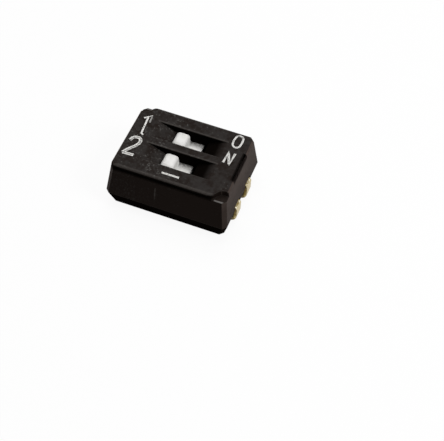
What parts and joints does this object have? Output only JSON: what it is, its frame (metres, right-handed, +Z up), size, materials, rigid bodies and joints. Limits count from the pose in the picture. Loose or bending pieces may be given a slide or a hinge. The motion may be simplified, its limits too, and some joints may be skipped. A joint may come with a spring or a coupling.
{
  "type": "slide switch",
  "caption": "Board-mounted slide switch: black drafted body, white sliders in boat-shaped slots and gold hooked terminals; each slider opens or closes its own contact.",
  "frame": {"origin": "on the board plane, under the middle of the body", "axes": "+X along the sliding direction towards on, +Y towards the first position, +Z up from the board"},
  "size_m": [0.0056, 0.0042, 0.0024],
  "materials": {
    "cover_plastic": "fine matte moulding",
    "base_plastic": "fine matte moulding",
    "slider_plastic": "satin moulding",
    "contact_gold": "gold plated",
    "terminal_gold": "gold plated"
  },
  "bodies": {
    "housing": {"cover": "cover_plastic", "base": "base_plastic", "terminal_1_left": "terminal_gold", "terminal_1_right": "terminal_gold", "terminal_2_left": "terminal_gold", "terminal_2_right": "terminal_gold"},
    "slide_1": {"slider_1": "slider_plastic", "contact_1": "contact_gold"},
    "slide_2": {"slider_2": "slider_plastic", "contact_2": "contact_gold"}
  },
  "joints": [
    {"name": "position_1", "type": "slide", "parent": "housing", "child": "slide_1", "axis": [1, 0, 0], "range_m": [0, 0.00074]},
    {"name": "position_2", "type": "slide", "parent": "housing", "child": "slide_2", "axis": [1, 0, 0], "range_m": [0, 0.00074]}
  ]
}
